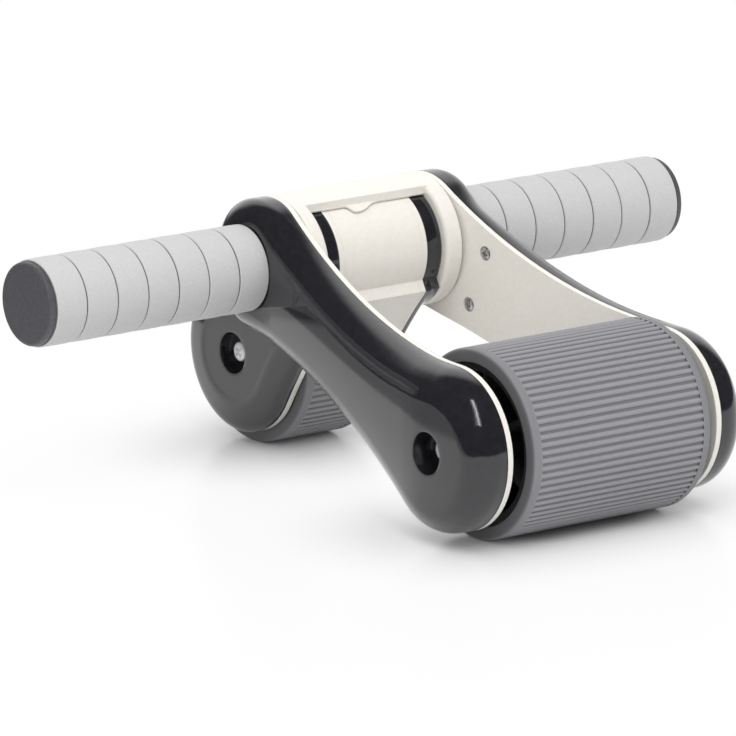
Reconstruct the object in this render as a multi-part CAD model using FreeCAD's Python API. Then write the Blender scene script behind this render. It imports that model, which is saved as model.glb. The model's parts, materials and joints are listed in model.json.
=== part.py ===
"""Folding two-roller abdominal trainer.

A handlebar carries two forks. The wide front fork is fixed to the bar and splays round a long
ribbed roller. The narrow rear fork turns on the bar and swings forward between the front arms.
Millimetres. X runs along the handlebar, the long roller is at -Y and Z is up. The origin is on
the floor, midway between the two axles.
"""
import FreeCAD
import Part
import math
import os

Vector = FreeCAD.Vector

# Stance: both rollers share one radius, and the rear one runs just clear of the hinge barrel
ROLLER_RADIUS = 43.0
BARREL_RADIUS = 26.0
BARREL_ROLLER_GAP = 1.1
REAR_ARM_SLOPE = 48.6
FRONT_REACH = 157.0

# Rollers
FRONT_TREAD_HALF = 50.0
REAR_TREAD_HALF = 21.0
TREAD_THICKNESS = 6.0
TREAD_RIBS = 76
RIB_HEIGHT = 0.9
GROOVE_WIDTH = 1.0
RIM_LENGTH = 4.4
RIM_ROUND = 1.8
BOND_GAP = 0.05
CORE_WALL = 4.0
CORE_RECESS = 2.0
CORE_SPOKES = 6
SPOKE_WALL = 3.0
SPOKE_RECESS = 6.0
CORE_HUB_WALL = 3.5
BEARING_RADIUS = 11.0
BEARING_WIDTH = 7.0
BEARING_RING = 1.6
SHIELD_RECESS = 0.5
BEARING_SHOULDER = 1.5
BEARING_FIT = 0.02

# Axles, bolts and spacers
AXLE_RADIUS = 4.0
AXLE_FIT = 0.05
AXLE_END_GAP = 0.1
BOLT_RADIUS = 2.5
BOLT_FIT = 0.05
BOLT_LENGTH = 16.0
BOLT_HEAD_RADIUS = 4.5
BOLT_HEAD_HEIGHT = 2.5
BOLT_HEAD_ROUND = 0.8
SPACER_WALL = 2.2
SPACER_GAP = 0.2

# Handlebar
TUBE_RADIUS = 12.5
TUBE_WALL = 1.5
TUBE_FIT = 0.05
GRIP_RADIUS = 20.0
GRIP_LENGTH = 118.0
GRIP_BANDS = 7
GRIP_GROOVE_DEPTH = 0.8
GRIP_GROOVE_WIDTH = 1.2
GRIP_EDGE = 1.0
GRIP_SEAT_GAP = 0.3
CAP_RADIUS = 19.0
CAP_FLANGE = 3.0
CAP_ROUND = 1.5
CAP_PLUG_LENGTH = 18.0
CAP_PLUG_FIT = 0.05
CAP_PLUG_WALL = 2.0
TUBE_SETBACK = 0.5

# Rear fork
REAR_SIDE_GAP = 1.0
REAR_PLATE_WALL = 3.0
REAR_COVER_DEPTH = 7.0
REAR_COVER_WALL = 2.2
REAR_COVER_LAND = 2.5
REAR_COVER_SLOPE = 16.0
PILLOW_SECTIONS = 5
REAR_HUB_RISE = 1.0
REAR_BOSS_SETBACK = 0.6
REAR_WAIST = 330.0
REAR_AXLE_STUB = 0.2
REAR_WELL_FLOOR = 1.0
DISC_SETBACK = 5.7
BARREL_FIT = 0.05
COVER_TURN_GAP = 0.4
WEB_WALL = 3.0
SHOULDER_RADIUS = 31.0
SHOULDER_BACK = 4.5
SHOULDER_LEAN = 20.0

# Front fork
HINGE_GAP = 0.4
COLLAR_WIDTH = 8.1
COLLAR_ROUND = 2.2
DRUM_GAP = 0.6
DRUM_WALL = 3.9
LIP_ANGLE = 65.0
LEDGE_ANGLE = 3.0
TONGUE_WALL = 0.9
TONGUE_LENGTH = 4.4
TONGUE_TIP = -7.5
TONGUE_SHARP_RUN = 5.5
TONGUE_SOFT_RUN = 15.0
STOP_GAP = 0.3
FRONT_SIDE_GAP = 7.5
FRONT_PLATE_WALL = 2.8
FRONT_COVER_DEPTH_HUB = 15.1
FRONT_COVER_DEPTH_WHEEL = 16.7
FRONT_COVER_WALL = 2.5
FRONT_COVER_LAND_UPPER = 2.4
FRONT_COVER_LAND_LOWER = 5.0
FRONT_WAIST_UPPER = 275.0
FRONT_WAIST_LOWER = 350.0
FRONT_AXLE_STUB = 3.7
FRONT_WELL_FLOOR = 2.5
SPLAY_START = 13.0
SPLAY_FLAT = 11.0
SPLAY_BLEND = 120.0
WELL_RADIUS = 9.7
WELL_WALL = 2.3
HUB_BOSS_WALL = 3.0

# Cover screws: distances forward of and above the handle axis
SCREW_PLACES = ((42.8, -0.3), (32.3, -25.8))
SCREW_RADIUS = 1.5
SCREW_FIT = 0.05
SCREW_LENGTH = 12.0
SCREW_HEAD_RADIUS = 3.0
SCREW_HEAD_HEIGHT = 2.0
SCREW_SEAT_LAND = 1.2
SCREW_SEAT_GAP = 0.3
POST_WALL = 2.2

# Places that follow from the sizes above
REAR_ARM = BARREL_RADIUS + BARREL_ROLLER_GAP + ROLLER_RADIUS
REAR_REACH = REAR_ARM * math.cos(math.radians(REAR_ARM_SLOPE))
HANDLE_RISE = REAR_ARM * math.sin(math.radians(REAR_ARM_SLOPE))
AXLE_SPAN = FRONT_REACH + REAR_REACH
SPLAY_END = FRONT_REACH - SPLAY_FLAT
FRONT_AXLE = Vector(0, -AXLE_SPAN / 2, ROLLER_RADIUS)
REAR_AXLE = Vector(0, AXLE_SPAN / 2, ROLLER_RADIUS)
HANDLE = Vector(0, REAR_AXLE.y - REAR_REACH, ROLLER_RADIUS + HANDLE_RISE)
DISC_RADIUS = ROLLER_RADIUS - DISC_SETBACK
DRUM_INNER = BARREL_RADIUS + DRUM_GAP
HUB_RADIUS = DRUM_INNER + DRUM_WALL
REAR_PLATE_X = REAR_TREAD_HALF + REAR_SIDE_GAP
REAR_JOINT_X = REAR_PLATE_X + REAR_PLATE_WALL
REAR_COVER_X = REAR_JOINT_X + REAR_COVER_DEPTH
REAR_HUB_X = REAR_COVER_X + REAR_HUB_RISE
WINDOW_HALF = REAR_HUB_X + HINGE_GAP
HUB_PLATE_X = WINDOW_HALF + COLLAR_WIDTH
HUB_JOINT_X = HUB_PLATE_X + FRONT_PLATE_WALL
HUB_COVER_X = HUB_JOINT_X + FRONT_COVER_DEPTH_HUB
WHEEL_PLATE_X = FRONT_TREAD_HALF + FRONT_SIDE_GAP
WHEEL_JOINT_X = WHEEL_PLATE_X + FRONT_PLATE_WALL
WHEEL_COVER_X = WHEEL_JOINT_X + FRONT_COVER_DEPTH_WHEEL
FRONT_FLOOR_X = WHEEL_JOINT_X + FRONT_AXLE_STUB
FRONT_SEAT_X = FRONT_FLOOR_X + FRONT_WELL_FLOOR
REAR_FLOOR_X = REAR_JOINT_X + REAR_AXLE_STUB
REAR_SEAT_X = REAR_FLOOR_X + REAR_WELL_FLOOR
GRIP_END_X = HUB_COVER_X + GRIP_LENGTH
BAND_MARGIN = 2 * ROLLER_RADIUS
MIRROR = Vector(1, 0, 0)


def rod(centre, radius, x0, x1):
    """A solid cylinder along X."""
    return Part.makeCylinder(radius, x1 - x0, Vector(x0, centre.y, centre.z), Vector(1, 0, 0))


def sleeve(centre, outer, inner, x0, x1):
    """A tube along X."""
    return rod(centre, outer, x0, x1).cut(rod(centre, inner, x0, x1))


def prism(outline, x0, x1):
    """A side outline in the YZ plane, drawn out from x0 to x1."""
    face = Part.Face(outline)
    face.translate(Vector(x0, 0, 0))
    return face.extrude(Vector(x1 - x0, 0, 0))


def turned(centre, outline):
    """A solid of revolution about X, from (x, radius) points."""
    points = [Vector(x, centre.y, centre.z + radius) for x, radius in outline]
    face = Part.Face(Part.makePolygon(points + points[:1]))
    return face.revolve(centre, Vector(1, 0, 0), 360)


def arc(start, middle, end):
    return Part.Arc(start, middle, end).toShape()


def line(start, end):
    return Part.LineSegment(start, end).toShape()


def closed_wire(edges):
    return Part.Wire(Part.__sortEdges__(edges))


def mirrored(shape):
    """The left-hand twin of a right-hand piece."""
    return shape.mirror(Vector(), MIRROR)


def save(name, *shapes):
    shape = shapes[0] if len(shapes) == 1 else Part.makeCompound(shapes)
    shape.exportStep(f"parts/{name}.step")


def save_pair(name, right):
    save(f"{name}_right", right)
    save(f"{name}_left", mirrored(right))


def dogbone(hub, hub_radius, disc, disc_radius, waists, inset=0.0):
    """Two round ends joined by hollow flanks; inset moves the whole outline inwards."""
    along = (disc - hub).normalize()
    across = Vector(0, -along.z, along.y)
    span = (disc - hub).Length
    hub_r = hub_radius - inset
    disc_r = disc_radius - inset
    flanks = []
    for side, waist in zip((1, -1), waists):
        waist_r = waist + inset
        reach = (span ** 2 + (hub_r + waist_r) ** 2 - (disc_r + waist_r) ** 2) / (2 * span)
        height = math.sqrt((hub_r + waist_r) ** 2 - reach ** 2)
        centre = hub + along * reach + across * (side * height)
        on_hub = hub + (centre - hub).normalize() * hub_r
        on_disc = disc + (centre - disc).normalize() * disc_r
        nearest = (on_hub + on_disc - centre * 2).normalize()
        flanks.append((on_hub, centre + nearest * waist_r, on_disc))
    (hub_a, mid_a, disc_a), (hub_b, mid_b, disc_b) = flanks
    return closed_wire([
        arc(hub_a, mid_a, disc_a),
        arc(disc_a, disc + along * disc_r, disc_b),
        arc(disc_b, mid_b, hub_b),
        arc(hub_b, hub - along * hub_r, hub_a),
    ])


def front_outline(inset=0.0):
    waists = (FRONT_WAIST_LOWER, FRONT_WAIST_UPPER)
    return dogbone(HANDLE, HUB_RADIUS, FRONT_AXLE, DISC_RADIUS, waists, inset)


def rear_outline(inset=0.0):
    waists = (REAR_WAIST, REAR_WAIST)
    return dogbone(HANDLE, SHOULDER_RADIUS, REAR_AXLE, DISC_RADIUS, waists, inset)


def splay_x(y, hub_x, wheel_x):
    """How far out the splayed arm stands at y, without the blends."""
    share = (HANDLE.y - SPLAY_START - y) / (SPLAY_END - SPLAY_START)
    return hub_x + (wheel_x - hub_x) * min(max(share, 0.0), 1.0)


def splay_edges(hub_x, wheel_x):
    """The arm's plan line: straight at the hub, splayed, straight at the roller."""
    corners = [
        Vector(hub_x, HANDLE.y + BAND_MARGIN, 0),
        Vector(hub_x, HANDLE.y - SPLAY_START, 0),
        Vector(wheel_x, HANDLE.y - SPLAY_END, 0),
        Vector(wheel_x, FRONT_AXLE.y - BAND_MARGIN, 0),
    ]
    edges = []
    start = corners[0]
    for before, corner, after in zip(corners, corners[1:], corners[2:]):
        back = (before - corner).normalize()
        ahead = (after - corner).normalize()
        half = back.getAngle(ahead) / 2
        inward = (back + ahead).normalize()
        trim = SPLAY_BLEND / math.tan(half)
        sag = SPLAY_BLEND / math.sin(half) - SPLAY_BLEND
        enter = corner + back * trim
        leave = corner + ahead * trim
        edges.append(line(start, enter))
        edges.append(arc(enter, corner + inward * sag, leave))
        start = leave
    edges.append(line(start, corners[-1]))
    return edges, corners[0], corners[-1]


def splay_band(inner, outer):
    """Everything between two plan lines, each given as (x at the hub, x at the roller)."""
    inner_edges, inner_back, inner_front = splay_edges(*inner)
    outer_edges, outer_back, outer_front = splay_edges(*outer)
    ends = [line(inner_back, outer_back), line(inner_front, outer_front)]
    face = Part.Face(closed_wire(inner_edges + outer_edges + ends))
    return face.extrude(Vector(0, 0, HANDLE.z + BAND_MARGIN))


def cover_round(point):
    """The front cover's edge radius at a point: all its depth but the land at the joint."""
    depth = splay_x(point.y, HUB_COVER_X - HUB_JOINT_X, WHEEL_COVER_X - WHEEL_JOINT_X)
    along = FRONT_AXLE - HANDLE
    above = (point.z - HANDLE.z) * along.y < (point.y - HANDLE.y) * along.z
    return depth - (FRONT_COVER_LAND_UPPER if above else FRONT_COVER_LAND_LOWER)


def rim_rounds(solid, outline, joint):
    """The cover's outer edges, each as (number, radius at its start, radius at its end)."""
    rounds = []
    for number, edge in enumerate(solid.Edges, 1):
        start = edge.valueAt(edge.FirstParameter)
        middle = edge.valueAt((edge.FirstParameter + edge.LastParameter) / 2)
        end = edge.valueAt(edge.LastParameter)
        flat = Part.Vertex(0, middle.y, middle.z)
        on_outline = flat.distToShape(outline)[0] < BOND_GAP
        if on_outline and middle.x > splay_x(middle.y, *joint) + cover_round(middle):
            rounds.append((number, cover_round(start), cover_round(end)))
    return rounds


def rounded(solid, rounds):
    """A solid whose edges are rounded with radii that change along them."""
    document = FreeCAD.newDocument()
    base = document.addObject("Part::Feature", "Base")
    base.Shape = solid
    fillet = document.addObject("Part::Fillet", "Rounded")
    fillet.Base = base
    fillet.Edges = rounds
    document.recompute()
    return fillet.Shape


def front_cover_body(inset=0.0, sink=0.0):
    """The front cover's outer form, or with an inset the hollow inside it."""
    outline = front_outline(inset)
    joint = (HUB_JOINT_X - sink, WHEEL_JOINT_X - sink)
    outer = (HUB_COVER_X - inset, WHEEL_COVER_X - inset)
    body = prism(outline, 0, WHEEL_COVER_X).common(splay_band(joint, outer))
    rounds = rim_rounds(body, outline, joint)
    return rounded(body, [(number, start - inset, end - inset) for number, start, end in rounds])


def rear_cover_body(inset=0.0, sink=0.0):
    """The rear cover's pillow form, or with an inset the hollow inside it."""
    land_x = REAR_JOINT_X + REAR_COVER_LAND
    rise = REAR_COVER_X - inset - land_x
    sections = []
    for index in range(PILLOW_SECTIONS):
        turn = math.pi / 2 * index / (PILLOW_SECTIONS - 1)
        section = rear_outline(inset + (REAR_COVER_SLOPE - inset) * (1 - math.cos(turn)))
        section.translate(Vector(land_x + rise * math.sin(turn), 0, 0))
        sections.append(section)
    wall = prism(rear_outline(inset), REAR_JOINT_X - sink, land_x)
    return wall.fuse(Part.makeLoft(sections, True)).removeSplitter()


def bolt_well(skin, axle, joint_x, floor_x, seat_x, face_x):
    """The round well that holds the axle's end behind its floor and the bolt's head before it."""
    well = rod(axle, WELL_RADIUS + WELL_WALL, joint_x, face_x).common(skin)
    well = well.cut(rod(axle, WELL_RADIUS, seat_x, face_x))
    well = well.cut(rod(axle, AXLE_RADIUS + AXLE_FIT, joint_x, floor_x))
    return well.cut(rod(axle, BOLT_RADIUS + BOLT_FIT, joint_x, face_x))


def screw_place(forward, above):
    return Vector(0, HANDLE.y - forward, HANDLE.z + above)


def screw_seat_x(place):
    return splay_x(place.y, HUB_JOINT_X, WHEEL_JOINT_X) - SCREW_SEAT_LAND


def front_cover():
    skin = front_cover_body()
    shell = skin.cut(front_cover_body(FRONT_COVER_WALL, FRONT_COVER_WALL))
    shell = shell.cut(rod(FRONT_AXLE, WELL_RADIUS, FRONT_FLOOR_X, WHEEL_COVER_X))
    bore = TUBE_RADIUS + TUBE_FIT
    pieces = [
        bolt_well(skin, FRONT_AXLE, WHEEL_JOINT_X, FRONT_FLOOR_X, FRONT_SEAT_X, WHEEL_COVER_X),
        rod(HANDLE, bore + HUB_BOSS_WALL, HUB_JOINT_X, HUB_COVER_X).common(skin),
    ]
    cuts = [
        rod(HANDLE, bore, 0, WHEEL_COVER_X),
        rod(HANDLE, GRIP_RADIUS + GRIP_SEAT_GAP, HUB_COVER_X, WHEEL_COVER_X),
    ]
    for place in SCREW_PLACES:
        centre = screw_place(*place)
        pieces.append(rod(centre, SCREW_RADIUS + POST_WALL, HUB_JOINT_X, WHEEL_COVER_X).common(skin))
        cuts.append(rod(centre, SCREW_RADIUS + SCREW_FIT, 0, screw_seat_x(centre) + SCREW_LENGTH))
    return shell.fuse(pieces).cut(cuts).removeSplitter()


def front_plate():
    inner = (HUB_PLATE_X, WHEEL_PLATE_X)
    outer = (HUB_JOINT_X, WHEEL_JOINT_X)
    plate = prism(front_outline(), 0, WHEEL_COVER_X).common(splay_band(inner, outer))
    cuts = [
        rod(HANDLE, TUBE_RADIUS + TUBE_FIT, 0, WHEEL_COVER_X),
        rod(FRONT_AXLE, AXLE_RADIUS + AXLE_FIT, 0, WHEEL_COVER_X),
    ]
    for place in SCREW_PLACES:
        centre = screw_place(*place)
        cuts.append(rod(centre, SCREW_RADIUS + SCREW_FIT, 0, WHEEL_COVER_X))
        cuts.append(rod(centre, SCREW_HEAD_RADIUS + SCREW_SEAT_GAP, 0, screw_seat_x(centre)))
    return plate.cut(cuts)


def cover_screw(centre):
    seat_x = screw_seat_x(centre)
    head = rod(centre, SCREW_HEAD_RADIUS, seat_x - SCREW_HEAD_HEIGHT, seat_x)
    return head.fuse(rod(centre, SCREW_RADIUS, seat_x, seat_x + SCREW_LENGTH)).removeSplitter()


def s_curve(place, start, end):
    """Two equal arcs between two flat tangents, in the plane that place maps to space."""
    run = end[0] - start[0]
    drop = end[1] - start[1]
    turn = math.atan2(abs(drop), abs(run))
    radius = math.hypot(run, drop) / (4 * math.sin(turn))
    aside = math.copysign(radius * math.sin(turn), run)
    down = math.copysign(radius * (1 - math.cos(turn)), drop)
    middle = place(start[0] + run / 2, start[1] + drop / 2)
    return [
        arc(place(*start), place(start[0] + aside, start[1] + down), middle),
        arc(middle, place(end[0] - aside, end[1] - down), place(*end)),
    ]


def polar(centre, radius, degrees):
    """A point round a centre in the YZ plane, from +Y towards +Z."""
    angle = math.radians(degrees)
    return centre + Vector(0, radius * math.cos(angle), radius * math.sin(angle))


def lip_cut(ledge):
    """What is cut from the drum's inner layer to leave a wave-shaped tongue on its front edge."""
    edge = polar(HANDLE, BARREL_RADIUS, ledge)
    radial = (edge - HANDLE).normalize()
    ahead = Vector(0, -radial.z, radial.y)

    def place(x, down):
        return edge + Vector(x, 0, 0) + ahead * down

    soft = (TONGUE_TIP + TONGUE_SOFT_RUN, 0)
    tip = (TONGUE_TIP, TONGUE_LENGTH)
    sharp = (TONGUE_TIP - TONGUE_SHARP_RUN, 0)
    edges = [line(place(WINDOW_HALF, 0), place(*soft))]
    edges += s_curve(place, soft, tip) + s_curve(place, tip, sharp)
    edges.append(line(place(*sharp), place(-WINDOW_HALF, 0)))
    edges.append(line(place(-WINDOW_HALF, 0), place(-WINDOW_HALF, BAND_MARGIN)))
    edges.append(line(place(-WINDOW_HALF, BAND_MARGIN), place(WINDOW_HALF, BAND_MARGIN)))
    edges.append(line(place(WINDOW_HALF, BAND_MARGIN), place(WINDOW_HALF, 0)))
    return Part.Face(closed_wire(edges)).extrude(radial * BAND_MARGIN)


def drum_layer(outer, outer_front, inner_front, half):
    """A layer of the drum's bridge, from its front edge over the top to the rear arm's back."""
    back = 90.0 - REAR_ARM_SLOPE
    top = (outer_front + back) / 2
    outer_ends = (polar(HANDLE, outer, outer_front), polar(HANDLE, outer, back))
    inner_ends = (polar(HANDLE, DRUM_INNER, inner_front), polar(HANDLE, DRUM_INNER, back))
    sector = closed_wire([
        arc(outer_ends[0], polar(HANDLE, outer, top), outer_ends[1]),
        line(outer_ends[1], inner_ends[1]),
        arc(inner_ends[1], polar(HANDLE, DRUM_INNER, top), inner_ends[0]),
        line(inner_ends[0], outer_ends[0]),
    ])
    return prism(sector, -half, half)


def hub_shell():
    """The white drum: two collars and a bridge over the top that the rear fork stops against."""
    lip = 180.0 - LIP_ANGLE
    ledge = lip + LEDGE_ANGLE
    tip = ledge + math.degrees(TONGUE_LENGTH / BARREL_RADIUS)
    tongue = drum_layer(DRUM_INNER + TONGUE_WALL, tip, tip, WINDOW_HALF).cut(lip_cut(ledge))
    bridge = drum_layer(HUB_RADIUS, lip, ledge, HUB_PLATE_X).fuse(tongue)
    stop = prism(rear_outline(-STOP_GAP), -WINDOW_HALF, WINDOW_HALF).cut(shoulder_cut(STOP_GAP))
    bridge = bridge.cut(stop)
    bore = TUBE_RADIUS + TUBE_FIT
    collar = rod(HANDLE, HUB_RADIUS, WINDOW_HALF, HUB_PLATE_X)
    rim = [edge for edge in collar.Edges if abs(edge.CenterOfMass.x - WINDOW_HALF) < BOND_GAP]
    collar = collar.makeFillet(COLLAR_ROUND, rim).cut(rod(HANDLE, bore, WINDOW_HALF, HUB_PLATE_X))
    return bridge.fuse([collar, mirrored(collar)]).removeSplitter()


def shoulder_cut(raised=0.0):
    """Everything above the rear arm's two shoulders, which lean away from the barrel."""
    along = (REAR_AXLE - HANDLE).normalize()
    across = Vector(0, along.z, -along.y) * BAND_MARGIN
    lean = math.tan(math.radians(SHOULDER_LEAN))
    ridge = HANDLE - along * (SHOULDER_BACK + lean * BARREL_RADIUS + raised)
    eaves = ridge + along * (lean * BAND_MARGIN)
    top = HANDLE - along * BAND_MARGIN
    corners = [ridge, eaves + across, top + across, top - across, eaves - across, ridge]
    return prism(Part.makePolygon(corners), -WINDOW_HALF, WINDOW_HALF)


def rear_cover():
    skin = rear_cover_body().cut(shoulder_cut())
    hollow = rear_cover_body(REAR_COVER_WALL, REAR_COVER_WALL).cut(shoulder_cut(-REAR_COVER_WALL))
    shell = skin.cut(hollow)
    shell = shell.cut(rod(REAR_AXLE, WELL_RADIUS, REAR_JOINT_X, REAR_COVER_X))
    bore = TUBE_RADIUS + COVER_TURN_GAP
    well = bolt_well(skin, REAR_AXLE, REAR_JOINT_X, REAR_FLOOR_X, REAR_SEAT_X, REAR_COVER_X)
    hub = rod(HANDLE, BARREL_RADIUS, REAR_JOINT_X, REAR_HUB_X)
    boss_radius = SHOULDER_RADIUS - REAR_BOSS_SETBACK
    boss = rod(HANDLE, boss_radius, REAR_JOINT_X, REAR_HUB_X).cut(shoulder_cut())
    return shell.fuse([well, hub, boss]).cut(rod(HANDLE, bore, 0, WINDOW_HALF)).removeSplitter()


def rear_plate():
    arm = prism(rear_outline(), REAR_PLATE_X, REAR_JOINT_X).cut(shoulder_cut())
    plate = arm.fuse(rod(HANDLE, BARREL_RADIUS, REAR_PLATE_X, REAR_JOINT_X))
    plate = plate.cut(rod(HANDLE, TUBE_RADIUS + BARREL_FIT, 0, WINDOW_HALF))
    return plate.cut(rod(REAR_AXLE, AXLE_RADIUS + AXLE_FIT, 0, WINDOW_HALF)).removeSplitter()


def rear_barrel():
    """The sleeve that turns on the handlebar, with webs that stop short of the roller."""
    walls = prism(rear_outline(), -REAR_PLATE_X, REAR_PLATE_X).cut(shoulder_cut())
    hollow = prism(rear_outline(WEB_WALL), -REAR_PLATE_X, REAR_PLATE_X)
    walls = walls.cut(hollow.cut(shoulder_cut(-WEB_WALL)))
    clear = ROLLER_RADIUS + BARREL_ROLLER_GAP
    walls = walls.cut(rod(REAR_AXLE, clear, -REAR_PLATE_X, REAR_PLATE_X))
    barrel = rod(HANDLE, BARREL_RADIUS, -REAR_PLATE_X, REAR_PLATE_X).fuse(walls)
    bore = rod(HANDLE, TUBE_RADIUS + BARREL_FIT, -REAR_PLATE_X, REAR_PLATE_X)
    return barrel.cut(bore).removeSplitter()


def ribbed_outline(centre):
    """Round ribs with narrow grooves between them, all round the tread."""
    valley = ROLLER_RADIUS - RIB_HEIGHT
    pitch = 360.0 / TREAD_RIBS
    half = pitch / 2 - math.degrees(GROOVE_WIDTH / (2 * valley))
    edges = []
    for index in range(TREAD_RIBS):
        angle = index * pitch
        crest = polar(centre, ROLLER_RADIUS, angle)
        foot = polar(centre, valley, angle + half)
        edges.append(arc(polar(centre, valley, angle - half), crest, foot))
        edges.append(line(foot, polar(centre, valley, angle + pitch - half)))
    return Part.Wire(edges)


def tread(centre, half):
    """Ribbed rubber sleeve with a plain rounded rim at each end."""
    inner = ROLLER_RADIUS - TREAD_THICKNESS
    ribbed = prism(ribbed_outline(centre), RIM_LENGTH - half, half - RIM_LENGTH)
    rims = []
    for side in (1, -1):
        x0, x1 = sorted((side * half, side * (half - RIM_LENGTH)))
        rim = rod(centre, ROLLER_RADIUS, x0, x1)
        outer = [edge for edge in rim.Edges if abs(edge.CenterOfMass.x - side * half) < BOND_GAP]
        rims.append(rim.makeFillet(RIM_ROUND, outer))
    body = ribbed.fuse(rims)
    return body.cut(rod(centre, inner, -half, half)).removeSplitter()


def core(centre, half):
    """Moulded drum: rim, hub with bearing seats, and spokes set back from the ends."""
    outer = ROLLER_RADIUS - TREAD_THICKNESS - BOND_GAP
    end = half - CORE_RECESS
    spoke_end = half - SPOKE_RECESS
    seat = BEARING_RADIUS + BEARING_FIT
    hub = rod(centre, seat + CORE_HUB_WALL, -end, end)
    spokes = []
    for index in range(CORE_SPOKES):
        corner = Vector(-spoke_end, centre.y - SPOKE_WALL / 2, centre.z)
        spoke = Part.makeBox(2 * spoke_end, SPOKE_WALL, outer - CORE_WALL / 2, corner)
        spoke.rotate(centre, Vector(1, 0, 0), index * 360 / CORE_SPOKES)
        spokes.append(spoke)
    drum = sleeve(centre, outer, outer - CORE_WALL, -end, end).fuse([hub] + spokes)
    cuts = [rod(centre, BEARING_RADIUS - BEARING_SHOULDER, -end, end)]
    cuts.append(rod(centre, seat, end - BEARING_WIDTH, end))
    cuts.append(rod(centre, seat, -end, BEARING_WIDTH - end))
    return drum.cut(cuts).removeSplitter()


def bearing(centre, half):
    """Shielded ball bearing, flush with the end of the core's hub."""
    out = half - CORE_RECESS
    back = out - BEARING_WIDTH
    bore = AXLE_RADIUS + BEARING_FIT
    return turned(centre, [
        (back, bore),
        (back, BEARING_RADIUS),
        (out, BEARING_RADIUS),
        (out, BEARING_RADIUS - BEARING_RING),
        (out - SHIELD_RECESS, BEARING_RADIUS - BEARING_RING),
        (out - SHIELD_RECESS, bore + BEARING_RING),
        (out, bore + BEARING_RING),
        (out, bore),
    ])


def axle(centre, floor_x):
    """A shaft tapped at both ends for the clamping bolts."""
    half = floor_x - AXLE_END_GAP
    depth = BOLT_LENGTH
    cuts = [rod(centre, BOLT_RADIUS + BOLT_FIT, half - depth, half)]
    cuts.append(rod(centre, BOLT_RADIUS + BOLT_FIT, -half, depth - half))
    return rod(centre, AXLE_RADIUS, -half, half).cut(cuts)


def axle_bolt(centre, seat_x):
    top_x = seat_x + BOLT_HEAD_HEIGHT
    head = rod(centre, BOLT_HEAD_RADIUS, seat_x, top_x)
    crown = [edge for edge in head.Edges if abs(edge.CenterOfMass.x - top_x) < BOND_GAP]
    head = head.makeFillet(BOLT_HEAD_ROUND, crown)
    return head.fuse(rod(centre, BOLT_RADIUS, seat_x - BOLT_LENGTH, seat_x)).removeSplitter()


def spacer(centre, half, plate_x):
    inner = AXLE_RADIUS + AXLE_FIT
    start = half - CORE_RECESS + SPACER_GAP
    return sleeve(centre, inner + SPACER_WALL, inner, start, plate_x - BOND_GAP)


def grip():
    """Foam sleeve with ring grooves between its bands."""
    bore = TUBE_RADIUS + TUBE_FIT
    pitch = GRIP_LENGTH / GRIP_BANDS
    outline = [(HUB_COVER_X, bore), (HUB_COVER_X, GRIP_RADIUS - GRIP_EDGE)]
    outline.append((HUB_COVER_X + GRIP_EDGE, GRIP_RADIUS))
    for index in range(1, GRIP_BANDS):
        x = HUB_COVER_X + index * pitch
        outline.append((x - GRIP_GROOVE_WIDTH / 2, GRIP_RADIUS))
        outline.append((x, GRIP_RADIUS - GRIP_GROOVE_DEPTH))
        outline.append((x + GRIP_GROOVE_WIDTH / 2, GRIP_RADIUS))
    outline.append((GRIP_END_X - GRIP_EDGE, GRIP_RADIUS))
    outline.append((GRIP_END_X, GRIP_RADIUS - GRIP_EDGE))
    outline.append((GRIP_END_X, bore))
    return turned(HANDLE, outline)


def end_cap():
    """Flanged plug, pushed into the handlebar's end."""
    plug = TUBE_RADIUS - TUBE_WALL - CAP_PLUG_FIT
    face_x = GRIP_END_X + CAP_FLANGE
    flange = rod(HANDLE, CAP_RADIUS, GRIP_END_X, face_x)
    crown = [edge for edge in flange.Edges if abs(edge.CenterOfMass.x - face_x) < BOND_GAP]
    flange = flange.makeFillet(CAP_ROUND, crown)
    stem = sleeve(HANDLE, plug, plug - CAP_PLUG_WALL, GRIP_END_X - CAP_PLUG_LENGTH, GRIP_END_X)
    return flange.fuse(stem).removeSplitter()


def handlebar():
    half = GRIP_END_X - TUBE_SETBACK
    return sleeve(HANDLE, TUBE_RADIUS, TUBE_RADIUS - TUBE_WALL, -half, half)


def save_roller(name, centre, half, plate_x, floor_x, seat_x):
    """One roller with its bearings, axle, spacers and bolts."""
    save(f"{name}_tread", tread(centre, half))
    save(f"{name}_core", core(centre, half))
    for part, right in (
        ("bearings", bearing(centre, half)),
        ("spacers", spacer(centre, half, plate_x)),
        ("axle_bolts", axle_bolt(centre, seat_x)),
    ):
        save(f"{name}_{part}", right, mirrored(right))
    save(f"{name}_axle", axle(centre, floor_x))


def main():
    os.makedirs("parts", exist_ok=True)
    save_roller("front", FRONT_AXLE, FRONT_TREAD_HALF, WHEEL_PLATE_X, FRONT_FLOOR_X, FRONT_SEAT_X)
    save_roller("rear", REAR_AXLE, REAR_TREAD_HALF, REAR_PLATE_X, REAR_FLOOR_X, REAR_SEAT_X)
    save_pair("front_plate", front_plate())
    save_pair("front_cover", front_cover())
    screws = [cover_screw(screw_place(*place)) for place in SCREW_PLACES]
    save_pair("cover_screws", Part.makeCompound(screws))
    save("hub_shell", hub_shell())
    save("handlebar_tube", handlebar())
    save_pair("grip", grip())
    save_pair("end_cap", end_cap())
    save("rear_barrel", rear_barrel())
    save_pair("rear_plate", rear_plate())
    save_pair("rear_cover", rear_cover())


main()
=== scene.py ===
# %% [markdown]
# # Dressing a folding two-roller abdominal trainer
# The solid model is already built and packed: every shell, roller, axle and screw has its real
# size and place. This lesson loads that model as a fixed frame and gives it its looks: foam grips,
# cross-head fasteners, gloss and matt plastics, ribbed rubber, and a white product-photo table.
# Everything is in metres. X runs along the handlebar, the long roller is at -Y and Z is up.

# %% Load the frame
import json
import math

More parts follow.
